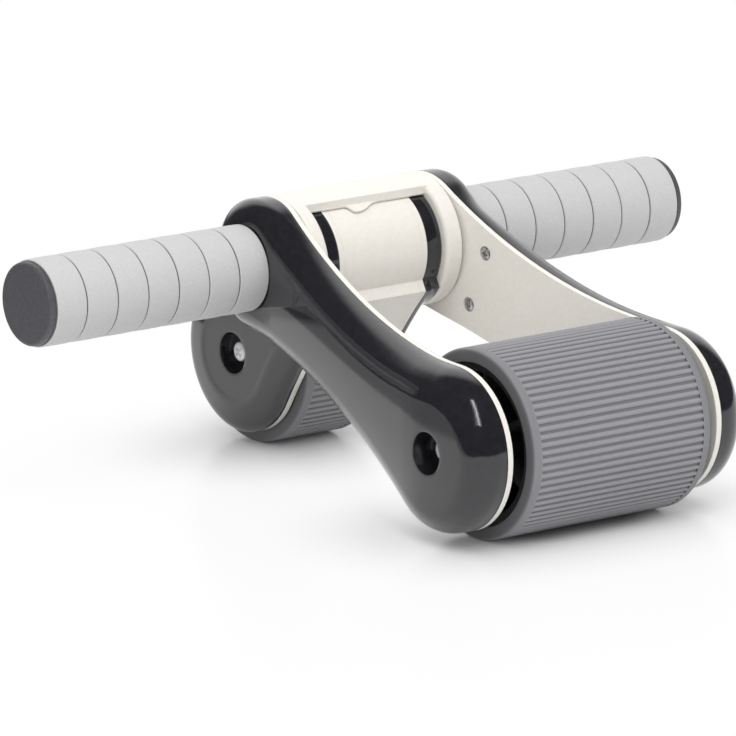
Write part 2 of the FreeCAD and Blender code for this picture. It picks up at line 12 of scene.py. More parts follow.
import bmesh
import bpy
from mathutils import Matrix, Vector


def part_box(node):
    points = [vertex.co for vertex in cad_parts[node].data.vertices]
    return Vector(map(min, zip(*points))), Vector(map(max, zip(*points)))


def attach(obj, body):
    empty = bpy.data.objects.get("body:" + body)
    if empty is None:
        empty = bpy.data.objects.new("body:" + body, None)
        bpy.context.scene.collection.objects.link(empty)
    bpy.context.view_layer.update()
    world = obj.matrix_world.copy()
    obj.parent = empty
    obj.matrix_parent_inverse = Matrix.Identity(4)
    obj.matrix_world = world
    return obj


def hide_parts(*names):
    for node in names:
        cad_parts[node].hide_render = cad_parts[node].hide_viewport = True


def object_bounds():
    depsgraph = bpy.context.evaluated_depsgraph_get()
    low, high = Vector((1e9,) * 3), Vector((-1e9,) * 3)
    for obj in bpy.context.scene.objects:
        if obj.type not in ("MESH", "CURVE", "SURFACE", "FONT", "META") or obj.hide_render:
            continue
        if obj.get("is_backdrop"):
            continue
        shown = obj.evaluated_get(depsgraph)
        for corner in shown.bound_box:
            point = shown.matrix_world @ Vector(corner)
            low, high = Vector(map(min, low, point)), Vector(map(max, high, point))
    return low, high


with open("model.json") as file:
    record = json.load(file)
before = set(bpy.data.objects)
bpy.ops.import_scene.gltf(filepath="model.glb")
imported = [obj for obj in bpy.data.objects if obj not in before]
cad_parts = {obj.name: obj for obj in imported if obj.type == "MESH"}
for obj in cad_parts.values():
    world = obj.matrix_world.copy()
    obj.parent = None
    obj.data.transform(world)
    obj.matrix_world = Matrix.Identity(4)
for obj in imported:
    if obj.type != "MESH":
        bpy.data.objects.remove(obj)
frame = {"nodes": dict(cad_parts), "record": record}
cad_low, cad_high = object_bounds()
nodes = frame["nodes"]
subparts = frame["record"]["subparts"]
MM = 0.001
MICRON = 0.000001
print("nodes loaded:", len(nodes), "size in mm:", [round(s / MM, 1) for s in cad_high - cad_low])


# %% [markdown]
# ## The camera
# The trainer was photographed from the front left and a little above, with a long lens, so its
# parallel edges stay almost parallel. The viewing angle and the distance could be found by eye.
# Here they were solved from the places of the bolt wells, screws and grip ends, and the camera
# is placed from the handlebar's centre, which is a point that the model gives exactly.

# %% Camera at the photograph's angle
CAMERA_AZIMUTH = math.radians(-37.35)
CAMERA_ELEVATION = math.radians(13.60)
CAMERA_FROM_BAR = Vector((-2.55188, -3.35795, 0.96491))
CAMERA_LENS = 464.7
SENSOR_WIDTH = 36.0
VIEW_END = 50.0


def middle(node):
    """The centre of a node's box."""
    low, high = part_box(node)
    return (low + high) / 2


def add_object(name, data):
    """A new object at the origin of the scene."""
    made = bpy.data.objects.new(name, data)
    bpy.context.scene.collection.objects.link(made)
    return made


bar_centre = middle("handlebar_tube")
towards_camera = Vector((
    math.sin(CAMERA_AZIMUTH) * math.cos(CAMERA_ELEVATION),
    -math.cos(CAMERA_AZIMUTH) * math.cos(CAMERA_ELEVATION),
    math.sin(CAMERA_ELEVATION),
))
camera_data = bpy.data.cameras.new("photo_camera")
camera_data.lens = CAMERA_LENS
camera_data.sensor_width = SENSOR_WIDTH
camera_data.clip_end = VIEW_END
camera = add_object("photo_camera", camera_data)
camera.location = bar_centre + CAMERA_FROM_BAR
camera.rotation_euler = (-towards_camera).to_track_quat("-Z", "Y").to_euler()
bpy.context.scene.camera = camera
bpy.context.scene.view_settings.view_transform = "Standard"
print("camera at", [round(c, 3) for c in camera.location])


# %% [markdown]
# ## Small helpers for node trees
# Shaders and geometry trees are built from the same few moves: add a node, set its sockets, link
# it. Doing that by hand takes many lines, so a helper adds a node and fills its inputs. An input
# that is given a socket gets a link, and any other value is written on the socket. The other
# helpers are the nodes that every tree here needs: sums, blends and ramps.

# %% Add, feed and calculate
def feed(tree, socket, value):
    """Link a socket to another one, or write a plain value on it."""
    if isinstance(value, bpy.types.NodeSocket):
        tree.links.new(value, socket)
    else:
        socket.default_value = value


def add_node(tree, kind, inputs=None, **settings):
    """Add a node, set its properties, then fill its inputs by name or number."""
    node = tree.nodes.new(kind)
    for name, value in settings.items():
        setattr(node, name, value)
    for key, value in (inputs or {}).items():
        feed(tree, node.inputs[key], value)
    return node


def math_node(tree, operation, *values):
    """One Math node, as the value that it puts out."""
    inputs = dict(enumerate(values))
    return add_node(tree, "ShaderNodeMath", inputs, operation=operation).outputs[0]


def vector_node(tree, operation, first, second):
    """One Vector Math node: a number for a dot product, otherwise a vector."""
    node = add_node(tree, "ShaderNodeVectorMath", {0: first, 1: second}, operation=operation)
    return node.outputs["Value" if operation == "DOT_PRODUCT" else "Vector"]


def hypotenuse(tree, first, second):
    """The long side of a right triangle, from its two short sides."""
    squares = [math_node(tree, "POWER", side, 2.0) for side in (first, second)]
    return math_node(tree, "SQRT", math_node(tree, "ADD", *squares))


print("helpers:", [helper.__name__ for helper in (feed, add_node, math_node, vector_node, hypotenuse)])


# %% Blend, ramp and read a place
def active(sockets, name=None):
    """The socket in use, of a name where it is given: some nodes keep one for each kind of value."""
    return next(s for s in sockets if s.enabled and name in (None, s.name))


def mixed(tree, factor, first, second, kind="RGBA"):
    """Blend two colours, or two values of another kind, by a factor."""
    node = add_node(tree, "ShaderNodeMix", data_type=kind)
    for name, value in {"Factor": factor, "A": first, "B": second}.items():
        feed(tree, active(node.inputs, name), value)
    return active(node.outputs)


def ramp(tree, value, low, high, at_low=0.0, at_high=1.0, kind="SMOOTHSTEP"):
    """Go from at_low to at_high while a value goes from low to high, and stay there outside."""
    inputs = {"Value": value, "From Min": low, "From Max": high, "To Min": at_low, "To Max": at_high}
    return add_node(tree, "ShaderNodeMapRange", inputs, interpolation_type=kind).outputs["Result"]


def object_place(tree):
    """The place of the shaded point in the frame."""
    return add_node(tree, "ShaderNodeTexCoord").outputs["Object"]


def object_axes(tree):
    """The same place as separate X, Y and Z."""
    return add_node(tree, "ShaderNodeSeparateXYZ", {0: object_place(tree)}).outputs


def sideways(tree):
    """How squarely a face looks along X, either way: 1 is straight along it."""
    normal = add_node(tree, "ShaderNodeNewGeometry").outputs["Normal"]
    across = add_node(tree, "ShaderNodeSeparateXYZ", {0: normal}).outputs["X"]
    return math_node(tree, "ABSOLUTE", across)


def cleared_tree(owner):
    """The empty shader tree of a material or of the world."""
    owner.use_nodes = True
    owner.node_tree.nodes.clear()
    return owner.node_tree


def seen_straight(tree, path):
    """1 for rays from the eye, also through clear things."""
    return math_node(tree, "MAXIMUM", path["Is Camera Ray"], path["Is Transmission Ray"])


print("helpers:", [helper.__name__ for helper in (mixed, ramp, object_axes, sideways, seen_straight)])


# %% [markdown]
# ## The table
# The trainer stands on a glossy white table, with the white running on behind it and a soft
# shadow below. A plain white plane would turn grey where the lamps fall off. So the plane is a
# real lit surface close to the rollers, which keeps the shadow, and fades to plain white further
# out. Right under the long roller the table's colour is painted dark, as a painted contact
# shadow. Shiny pieces see the table up to an edge and a dim room past it, which gives black gloss
# its contrast in a studio.

# %% How far from the rollers
CONTACT_REACH = 0.030


def from_contact(tree, axes, roller, inset=0.0):
    """How far a point is from the line on which a roller stands, with an inset at both ends."""
    half_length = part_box(roller)[1].x - inset
    past_end = math_node(tree, "SUBTRACT", math_node(tree, "ABSOLUTE", axes["X"]), half_length)
    beside = math_node(tree, "MAXIMUM", past_end, 0.0)
    across = math_node(tree, "SUBTRACT", axes["Y"], middle(roller).y)
    return hypotenuse(tree, beside, across)


table_material = bpy.data.materials.new("white_table")
tree = cleared_tree(table_material)
table_axes = object_axes(tree)
from_front = from_contact(tree, table_axes, "front_tread")
from_rear = from_contact(tree, table_axes, "rear_tread")
nearest = math_node(tree, "MINIMUM", from_front, from_rear)
# Distance from the long roller's line, inset at its ends, which bounds the painted contact shadow.
under_front = from_contact(tree, table_axes, "front_tread", CONTACT_REACH)
print("rollers stand at y, in m:", [round(middle(r).y, 3) for r in ("front_tread", "rear_tread")])

# %% White table
TABLE_HALF = 12.0
TABLE_WHITE = (0.93, 0.93, 0.935, 1.0)
TABLE_ROUGHNESS = 0.22
TABLE_SPECULAR = 0.35
SHADOW_REACH = 0.10
TINT_REACH = 0.40
SHADOW_SHARE = 0.85
EDGE_DIRECTION = (-0.82, 0.57, 0.0)
EDGE_DISTANCE = 0.33
EDGE_SOFTNESS = 0.02
# Painted contact shadow: the table's colour right under the long roller.
PAINTED_CONTACT_SHADOW = (0.05, 0.05, 0.053, 1.0)
CONTACT_CORE = 0.010
WHITE = (1.0, 1.0, 1.0, 1.0)
DIM_ROOM = (0.06, 0.06, 0.066, 1.0)

# The table's colour goes from the painted contact shadow near the long roller's line to white.
out_of_painted_shadow = ramp(tree, under_front, CONTACT_CORE, CONTACT_REACH)
surface = add_node(tree, "ShaderNodeBsdfPrincipled", {
    "Base Color": mixed(tree, out_of_painted_shadow, PAINTED_CONTACT_SHADOW, TABLE_WHITE),
    "Roughness": TABLE_ROUGHNESS,
    "Specular IOR Level": TABLE_SPECULAR,
})
out_of_shadow = ramp(tree, nearest, 0.0, SHADOW_REACH, 0.0, SHADOW_SHARE)
out_of_tint = ramp(tree, nearest, SHADOW_REACH, TINT_REACH, 0.0, 1.0 - SHADOW_SHARE)
fade = math_node(tree, "ADD", out_of_shadow, out_of_tint)
outward = vector_node(tree, "DOT_PRODUCT", object_place(tree), EDGE_DIRECTION)
past_edge = ramp(tree, outward, EDGE_DISTANCE, EDGE_DISTANCE + EDGE_SOFTNESS)
path = add_node(tree, "ShaderNodeLightPath").outputs
dim = math_node(tree, "MULTIPLY", path["Is Glossy Ray"], past_edge)
far_off = add_node(tree, "ShaderNodeEmission", {
    "Color": mixed(tree, dim, WHITE, DIM_ROOM),
    "Strength": 1.0,
})
shown = math_node(tree, "MAXIMUM", seen_straight(tree, path), path["Is Glossy Ray"])
blend = add_node(tree, "ShaderNodeMixShader", {
    0: math_node(tree, "MULTIPLY", fade, shown),
    1: surface.outputs[0],
    2: far_off.outputs[0],
})
add_node(tree, "ShaderNodeOutputMaterial", {"Surface": blend.outputs[0]})

table_mesh = bpy.data.meshes.new("table")
corners = [(-1, -1), (1, -1), (1, 1), (-1, 1)]
table_mesh.from_pydata([(x * TABLE_HALF, y * TABLE_HALF, 0) for x, y in corners], [], [(0, 1, 2, 3)])
table_mesh.materials.append(table_material)
table = add_object("table", table_mesh)
table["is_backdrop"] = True
print("table is plain white", TINT_REACH, "m from the rollers")


# %% [markdown]
# ## The light
# A studio gives soft light from all round, so an even world does most of the work. The eye sees
# it white. Shiny pieces see a white sweep behind and above the trainer and a dim room elsewhere.
# Three lamps add a fill from above, a narrow strip of highlight and some light from behind. Only
# the strip shows in shiny pieces: the mirror image of a big lamp would wash out the black gloss.

# %% World
AMBIENT = (0.84, 0.84, 0.84, 1.0)
SWEEP_DIRECTION = (0.50, 0.75, 0.43)
SWEEP_EDGE = (0.72, 0.92)

world = bpy.data.worlds.new("studio")
bpy.context.scene.world = world
tree = cleared_tree(world)
ray = add_node(tree, "ShaderNodeTexCoord").outputs["Generated"]
sweep = ramp(tree, vector_node(tree, "DOT_PRODUCT", ray, SWEEP_DIRECTION), *SWEEP_EDGE)
path = add_node(tree, "ShaderNodeLightPath").outputs
room = mixed(tree, path["Is Glossy Ray"], AMBIENT, mixed(tree, sweep, DIM_ROOM, WHITE))
sky = mixed(tree, seen_straight(tree, path), room, WHITE)
background = add_node(tree, "ShaderNodeBackground", {"Color": sky, "Strength": 1.0})
add_node(tree, "ShaderNodeOutputWorld", {"Surface": background.outputs[0]})
print("world lights with", AMBIENT[0], "of white")

# %% Lamps
LAMPS = {
    "overhead_softbox": {
        "place": (-0.20, -0.85, 1.50), "target": (0, 0, 0.05),
        "width": 2.0, "depth": 1.8, "power": 8.0, "mirrored": False,
    },
    "front_strip": {
        "place": (-0.60, -0.85, 1.40), "target": (0, 0, 0.06),
        "width": 0.16, "depth": 1.1, "power": 5.0, "mirrored": True,
    },
    "back_softbox": {
        "place": (-0.1, 1.5, 0.45), "target": (0, 0, 0.06),
        "width": 1.4, "depth": 0.7, "power": 4.0, "mirrored": False,
    },
}


def soft_lamp(name, place, target, width, depth, power, mirrored):
    """A rectangular softbox that looks at a point."""
    data = bpy.data.lights.new(name, "AREA")
    data.shape = "RECTANGLE"
    data.size = width
    data.size_y = depth
    data.energy = power
    lamp = add_object(name, data)
    lamp.location = place
    lamp.rotation_euler = (Vector(target) - Vector(place)).to_track_quat("-Z", "Y").to_euler()
    lamp.visible_camera = False
    lamp.visible_glossy = mirrored


for name, values in LAMPS.items():
    soft_lamp(name, **values)
print("lamps:", sorted(LAMPS))


# %% [markdown]
# ## Effects that several finishes share
# No moulded, foamed or rolled surface is perfectly even. Four small effects cover this trainer.
# Grain is a fine relief, such as spark-eroded plastic or foam cells. Handling is a slow change
# over the surface, where fingers and packing have dulled it. A softened edge rounds a sharp
# corner of the solid, as every moulded corner is rounded. Ring depth finds the grooves of a round
# piece, by how far a point is from its axis, and is the mask for painted shade in those grooves.
# Each could be built again in every material, but a node group with its own sizes is built once
# and serves all the finishes.

# %% Grain and handling
GRAIN_DETAIL = 3.0
SPECK_DETAIL = 2.0
SPECK_SCALE = 0.37
SPECK_EDGE = (0.42, 0.62)
CLOUD_SCALE = 14.0
CLOUD_DETAIL = 4.0
CLOUD_ROUGHNESS = 0.6
CLOUD_EDGE = (0.35, 0.65)
FLOAT = "NodeSocketFloat"


def shader_group(name, inputs, outputs):
    """An empty shader group with float inputs and outputs of given kinds."""
    group = bpy.data.node_groups.new(name, "ShaderNodeTree")
    for label, default in inputs.items():
        socket = group.interface.new_socket(label, in_out="INPUT", socket_type=FLOAT)
        socket.default_value = default
    for label, kind in outputs.items():
        group.interface.new_socket(label, in_out="OUTPUT", socket_type=kind)
    return group, add_node(group, "NodeGroupInput").outputs


grain_group, given = shader_group("grain", {"Scale": 800.0}, {"Relief": FLOAT, "Speck": FLOAT})
here = object_place(grain_group)
cells = add_node(grain_group, "ShaderNodeTexNoise", {
    "Vector": here, "Scale": given["Scale"], "Detail": GRAIN_DETAIL,
})
specks = add_node(grain_group, "ShaderNodeTexNoise", {
    "Vector": here,
    "Scale": math_node(grain_group, "MULTIPLY", given["Scale"], SPECK_SCALE),
    "Detail": SPECK_DETAIL,
})
add_node(grain_group, "NodeGroupOutput", {
    "Relief": cells.outputs[0],
    "Speck": ramp(grain_group, specks.outputs[0], *SPECK_EDGE, kind="LINEAR"),
})

handling_group, given = shader_group("handling", {"Scale": CLOUD_SCALE}, {"Dulled": FLOAT})
clouds = add_node(handling_group, "ShaderNodeTexNoise", {
    "Vector": object_place(handling_group),
    "Scale": given["Scale"],
    "Detail": CLOUD_DETAIL,
    "Roughness": CLOUD_ROUGHNESS,
})
add_node(handling_group, "NodeGroupOutput", {
    "Dulled": ramp(handling_group, clouds.outputs[0], *CLOUD_EDGE),
})
print("shader groups:", grain_group.name, handling_group.name)

# %% Softened edge and ring depth
BEVEL_SAMPLES = 4

edge_group, given = shader_group("softened_edge", {"Radius": 0.5 * MM}, {"Normal": "NodeSocketVector"})
rounded = add_node(edge_group, "ShaderNodeBevel", {"Radius": given["Radius"]}, samples=BEVEL_SAMPLES)
add_node(edge_group, "NodeGroupOutput", {"Normal": rounded.outputs[0]})

# Ring depth is the mask for painted shade in the grooves of rubber and foam.
ring_group, given = shader_group("ring_depth", {
    "Axis Y": 0.0, "Axis Z": 0.0, "Top": 20 * MM, "Bottom": 19 * MM,
}, {"Sunk": FLOAT})
here = object_axes(ring_group)
from_axis = hypotenuse(
    ring_group,
    math_node(ring_group, "SUBTRACT", here["Y"], given["Axis Y"]),
    math_node(ring_group, "SUBTRACT", here["Z"], given["Axis Z"]),
)
add_node(ring_group, "NodeGroupOutput", {
    "Sunk": ramp(ring_group, from_axis, given["Top"], given["Bottom"]),
})
print("shader groups:", edge_group.name, ring_group.name)


# %% [markdown]
# ## A slight crown
# The black front covers look flat, but their mirror images bend along the middle of the arm, so
# the real faces are crowned by a millimetre or two. The solid's face is flat there. A bump node
# can bend the shading of a flat face, if it is given the height that the crown would have: it
# falls off from the arm's centre line, faster at the narrow waist than at the round ends.

# %% Height of a crown
crown_group, given = shader_group("crown", {
    "From Y": 0.0, "From Z": 0.0, "To Y": 0.1, "To Z": 0.0, "Waist Radius": 0.1, "End Radius": 0.2,
}, {"Height": FLOAT})


def side_point(y, z):
    """A point in the side view, as a vector of the crown's tree."""
    return add_node(crown_group, "ShaderNodeCombineXYZ", {"Y": y, "Z": z}).outputs[0]


def crown_dot(first, second):
    """The dot product of two vectors of the crown's tree."""
    return vector_node(crown_group, "DOT_PRODUCT", first, second)


here = object_axes(crown_group)
start = side_point(given["From Y"], given["From Z"])
spine = vector_node(crown_group, "SUBTRACT", side_point(given["To Y"], given["To Z"]), start)
away = vector_node(crown_group, "SUBTRACT", side_point(here["Y"], here["Z"]), start)
share = math_node(crown_group, "DIVIDE", crown_dot(away, spine), crown_dot(spine, spine))
share = math_node(crown_group, "MINIMUM", math_node(crown_group, "MAXIMUM", share, 0.0), 1.0)
foot = add_node(crown_group, "ShaderNodeVectorMath", {
    "Vector": spine, "Scale": share,
}, operation="SCALE").outputs["Vector"]
gap = vector_node(crown_group, "SUBTRACT", away, foot)
from_waist = math_node(crown_group, "SUBTRACT", math_node(crown_group, "MULTIPLY", share, 2.0), 1.0)
towards_end = math_node(crown_group, "POWER", from_waist, 2.0)
radius = mixed(crown_group, towards_end, given["Waist Radius"], given["End Radius"], "FLOAT")
minus_diameter = math_node(crown_group, "MULTIPLY", radius, -2.0)
add_node(crown_group, "NodeGroupOutput", {
    "Height": math_node(crown_group, "DIVIDE", crown_dot(gap, gap), minus_diameter),
})
print("shader group:", crown_group.name)

# %% Shade a face as crowned
WAIST_CROWN = 70 * MM
END_CROWN = 160 * MM
FACE_TURN = (0.52, 0.80)


def crowned(from_node, to_node):
    """A dome for a long flat side face: highest on the line between two pieces' middles."""
    first, last = middle(from_node), middle(to_node)
    sizes = {
        "From Y": first.y, "From Z": first.z, "To Y": last.y, "To Z": last.z,
        "Waist Radius": WAIST_CROWN, "End Radius": END_CROWN,
    }

    def dome(tree, normal):
        raised = add_node(tree, "ShaderNodeBump", {
            "Height": add_node(tree, "ShaderNodeGroup", sizes, node_tree=crown_group).outputs["Height"],
            "Distance": 1.0,
            "Normal": normal,
        })
        on_face = ramp(tree, sideways(tree), *FACE_TURN)
        return mixed(tree, on_face, normal, raised.outputs["Normal"], "VECTOR")

    return dome


arm_crown = crowned("handlebar_tube", "front_axle")
print("crown radii in m:", WAIST_CROWN, "at the waist,", END_CROWN, "at the ends")


# %% [markdown]
# ## Finishes
# Each finish is a Principled shader whose colour, roughness and relief vary through the shared
# groups. A number that is the same all over stays on the shader's own socket. The covers are a
# deep blue-black gloss plastic, the inner shells a warm white one, the rollers wear matt grey
# rubber, the grips are light grey foam, and the caps are a satin dark grey. Rubber and foam have
# painted shade in their grooves, and a tread also has painted shade on its rims and end faces.

# %% A finish from the shared groups
def finish(name, dark, light, rough, relief, grain, edge=0.5 * MM, tints=(), dome=None, **sockets):
    """A material that goes from dark to light with its grain and changes roughness with handling.

    Tints change the colour further, and a dome changes the normal.
    """
    material = bpy.data.materials.new(name)
    tree = cleared_tree(material)
    grained = add_node(tree, "ShaderNodeGroup", {"Scale": grain}, node_tree=grain_group).outputs
    dulled = add_node(tree, "ShaderNodeGroup", node_tree=handling_group).outputs["Dulled"]
    normal = add_node(tree, "ShaderNodeGroup", {"Radius": edge}, node_tree=edge_group).outputs["Normal"]
    if dome:
        normal = dome(tree, normal)
    colour = mixed(tree, grained["Speck"], dark, light)
    for tint in tints:
        colour = tint(tree, colour)
    bump = add_node(tree, "ShaderNodeBump", {
        "Height": grained["Relief"], "Distance": relief, "Normal": normal,
    })
    shader = add_node(tree, "ShaderNodeBsdfPrincipled", {
        "Base Color": colour,
        "Roughness": ramp(tree, dulled, 0.0, 1.0, *rough, kind="LINEAR"),
        "Normal": bump.outputs["Normal"],
    })
    for socket, value in sockets.items():
        shader.inputs[socket.replace("_", " ")].default_value = value
    add_node(tree, "ShaderNodeOutputMaterial", {"Surface": shader.outputs[0]})
    return material


def grey(value, blue=1.0):
    """A grey, a little bluer where blue is above 1."""
    return (value, value, value * blue, 1.0)


print("a mid grey is", grey(0.5))

# %% Painted shade for round pieces
RIM_FADE = 0.1
END_TURN = (0.6, 0.95)


def painted_groove_shade(node, top, bottom, shade_colour):
    """Painted shade for a round piece: its grooves are darker, from top to bottom below its surface."""
    axis = middle(node)
    low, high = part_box(node)
    radius = (high.z - low.z) / 2
    sizes = {"Axis Y": axis.y, "Axis Z": axis.z, "Top": radius - top, "Bottom": radius - bottom}

    def tint(tree, colour):
        sunk = add_node(tree, "ShaderNodeGroup", sizes, node_tree=ring_group).outputs["Sunk"]
        return mixed(tree, sunk, colour, shade_colour)

    return tint


def painted_end_shade(node, rim, rim_shade, end_face_shade):
    """Painted shade for a tread: darker on its plain rims, and darker still on its end faces."""
    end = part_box(node)[1].x

    def tint(tree, colour):
        out = math_node(tree, "ABSOLUTE", object_axes(tree)["X"])
        on_rim = ramp(tree, out, end - rim, end - (1 - RIM_FADE) * rim, kind="LINEAR")
        colour = mixed(tree, on_rim, colour, rim_shade)
        on_end = ramp(tree, sideways(tree), *END_TURN, kind="LINEAR")
        return mixed(tree, on_end, colour, end_face_shade)

    return tint


print("tints:", painted_groove_shade.__name__, painted_end_shade.__name__)

# %% Gloss black and ribbed rubber
RIB_TOP = 0.35 * MM
RIB_BOTTOM = 0.85 * MM
RIM_LENGTH = 4.4 * MM


def gloss_black(name, dome=None):
    """High-gloss blue-black plastic under a clear coat."""
    return finish(
        name, grey(0.014, 1.2), grey(0.018, 1.2), rough=(0.07, 0.11), relief=4 * MICRON, grain=900.0,
        edge=2.0 * MM, dome=dome, Coat_Weight=0.6, Coat_Roughness=0.04,
    )


def ribbed_rubber(node):
    """Matt grey rubber, with painted shade in its grooves, on its rims and on its end faces."""
    return finish(
        f"{node}_rubber", grey(0.300, 1.06), grey(0.325, 1.06), rough=(0.50, 0.62),
        relief=30 * MICRON, grain=4000.0, edge=0.2 * MM,
        # Painted shade: darker in the grooves, on the plain rims and on the end faces.
        tints=(
            painted_groove_shade(node, RIB_TOP, RIB_BOTTOM, grey(0.20, 1.06)),
            painted_end_shade(node, RIM_LENGTH, grey(0.24, 1.06), grey(0.13, 1.06)),
        ),
    )


own_finish = {node: ribbed_rubber(node) for node in ("front_tread", "rear_tread")}
crowned_black = gloss_black("crowned_gloss_black", arm_crown)
for side in ("left", "right"):
    own_finish[f"front_cover_{side}"] = crowned_black
print("nodes with a finish of their own:", sorted(own_finish))

# %% One finish for each material slot
FOAM_TOP = 0.40 * MM
FOAM_BOTTOM = 0.80 * MM

finishes = {
    "black_cover": gloss_black("gloss_black"),
    "white_shell": finish(
        "warm_white", (0.88, 0.85, 0.785, 1), (0.90, 0.875, 0.815, 1), rough=(0.28, 0.38),
        relief=10 * MICRON, grain=1200.0,
    ),
    "grip_foam": finish(
        "grey_foam", grey(0.575), grey(0.625), rough=(0.85, 0.95), relief=60 * MICRON, grain=4500.0,
        # Painted shade in the cuts between the foam's bands.
        edge=0.2 * MM, tints=(painted_groove_shade("grip_left", FOAM_TOP, FOAM_BOTTOM, grey(0.16)),),
        Sheen_Weight=0.15,
    ),
    "cap_plastic": finish(
        "satin_grey", grey(0.085, 1.10), grey(0.100, 1.10), rough=(0.38, 0.50),
        relief=30 * MICRON, grain=1800.0,
    ),
    "roller_core": finish(
        "matt_black", grey(0.012, 1.1), grey(0.018, 1.1), rough=(0.55, 0.70),
        relief=30 * MICRON, grain=1400.0,
    ),
    "bar_steel": finish(
        "drawn_steel", grey(0.55, 1.03), grey(0.66, 1.03), rough=(0.25, 0.40),
        relief=10 * MICRON, grain=600.0, Metallic=1.0,
    ),
    "bolt_steel": finish(
        "plated_steel", grey(0.80, 1.02), grey(0.88, 1.02), rough=(0.26, 0.36),
        relief=10 * MICRON, grain=700.0, edge=0.2 * MM, Metallic=0.25,
    ),
}
screw_steel = finish(
    "screw_steel", grey(0.50, 1.02), grey(0.60, 1.02), rough=(0.20, 0.30),
    relief=10 * MICRON, grain=700.0, edge=0.1 * MM, Metallic=1.0,
)
print("finishes:", sorted(finishes))

# %% Dress the solids
for piece in subparts:
    node = piece["node"]
    nodes[node].data.materials.clear()
    nodes[node].data.materials.append(own_finish.get(node) or finishes[piece["material_slot"]])
print("solids dressed:", len(subparts))


# %% [markdown]
# ## Foam grips
# Each grip is one sleeve of closed-cell foam, pushed over the bar. Six thin cuts round it leave
# seven bands, and each band swells a little between its cuts. A turned profile would do, but the
# shape follows a rule along the sleeve, so a geometry tree states that rule: a grid is rolled
# into a tube whose radius dips at every cut, and whose last rows run down the end faces to the
# bar. Sizes come from the frame, and the cuts' sizes are the tree's named inputs.

# %% Geometry tree helpers
MERGE_DISTANCE = 1 * MICRON


def geometry_tree(name, inputs):
    """A geometry tree that takes a mesh and inputs of given kinds."""
    tree = bpy.data.node_groups.new(name, "GeometryNodeTree")
    tree.interface.new_socket("Geometry", in_out="INPUT", socket_type="NodeSocketGeometry")
    for label, kind in inputs.items():
        tree.interface.new_socket(label, in_out="INPUT", socket_type=kind)
    tree.interface.new_socket("Geometry", in_out="OUTPUT", socket_type="NodeSocketGeometry")
    return tree, add_node(tree, "NodeGroupInput").outputs


def end_tree(tree, geometry, material):
    """The last nodes of every tree: real geometry with a material."""
    whole = add_node(tree, "GeometryNodeRealizeInstances", {0: geometry})
    coloured = add_node(tree, "GeometryNodeSetMaterial", {
        "Geometry": whole.outputs[0], "Material": material,
    })
    add_node(tree, "NodeGroupOutput", {"Geometry": coloured.outputs[0]})
    print(tree.name, "tree has", len(tree.nodes), "nodes")


def grown(name, start, tree, values):
    """Run a geometry tree on a mesh with the given inputs and keep the result as a plain mesh."""
    seed = add_object(name, start)
    modifier = seed.modifiers.new("tree", "NODES")
    modifier.node_group = tree
    for item in tree.interface.items_tree:
        if item.in_out == "INPUT" and item.name in values:
            modifier[item.identifier] = values[item.name]
    evaluated = seed.evaluated_get(bpy.context.evaluated_depsgraph_get())
    mesh = bpy.data.meshes.new_from_object(evaluated)
    seed.modifiers.clear()
    seed.data = mesh
    made = bmesh.new()
    made.from_mesh(mesh)
    bmesh.ops.remove_doubles(made, verts=made.verts, dist=MERGE_DISTANCE)
    bmesh.ops.recalc_face_normals(made, faces=made.faces)
    for face in made.faces:
        face.smooth = True
    made.to_mesh(mesh)
    made.free()
    print(name, "has", len(mesh.polygons), "faces")
    return seed


# %% Where a grid point lies on the sleeve
SLEEVE_ROWS = 420
SLEEVE_SIDES = 128
END_SHARE = 0.06

foam_tree, given = geometry_tree("foam_sleeve", {
    "Start": FLOAT, "Length": FLOAT, "Radius": FLOAT, "Bore": FLOAT, "Bands": FLOAT,
    "Cut Width": FLOAT, "Cut Depth": FLOAT, "Swell": FLOAT, "End Round": FLOAT,
    "Axis Y": FLOAT, "Axis Z": FLOAT, "Material": "NodeSocketMaterial",
})


def foam(operation, *values):
    """One Math node of the foam's tree."""
    return math_node(foam_tree, operation, *values)


grid = add_node(foam_tree, "GeometryNodeMeshGrid", {
    "Size X": 1.0, "Size Y": 1.0, "Vertices X": SLEEVE_ROWS, "Vertices Y": SLEEVE_SIDES + 1,
})
grid_place = add_node(foam_tree, "ShaderNodeSeparateXYZ", {
    0: add_node(foam_tree, "GeometryNodeInputPosition").outputs[0],
})
row = foam("MULTIPLY", grid_place.outputs["X"], 2 * (0.5 + END_SHARE))
along = foam("ADD", foam("MINIMUM", foam("MAXIMUM", row, -0.5), 0.5), 0.5)
beyond = foam("MAXIMUM", foam("SUBTRACT", foam("ABSOLUTE", row), 0.5), 0.0)
past_end = foam("DIVIDE", beyond, END_SHARE)
band = foam("FRACT", foam("MULTIPLY", along, given["Bands"]))
to_cut = foam("MINIMUM", band, foam("SUBTRACT", 1.0, band))
print("a sleeve has", SLEEVE_ROWS, "rows of", SLEEVE_SIDES, "points")

# %% The rule of a foam sleeve
pitch = foam("DIVIDE", given["Length"], given["Bands"])
cut_distance = foam("MULTIPLY", to_cut, pitch)
cut = ramp(foam_tree, cut_distance, 0.0, given["Cut Width"], given["Cut Depth"], 0.0)
swell = foam("MULTIPLY", foam("POWER", foam("MULTIPLY", to_cut, 2.0), 0.5), given["Swell"])
to_end = foam("MINIMUM", along, foam("SUBTRACT", 1.0, along))
rim_distance = foam("MULTIPLY", to_end, given["Length"])
end_round = given["End Round"]
rim = ramp(foam_tree, rim_distance, 0.0, end_round, end_round, 0.0, kind="SMOOTHERSTEP")
outer = foam("ADD", foam("SUBTRACT", given["Radius"], given["Swell"]), swell)
outer = foam("SUBTRACT", foam("SUBTRACT", outer, cut), rim)
to_bore = foam("SUBTRACT", given["Bore"], outer)
radius = foam("ADD", outer, foam("MULTIPLY", to_bore, past_end))
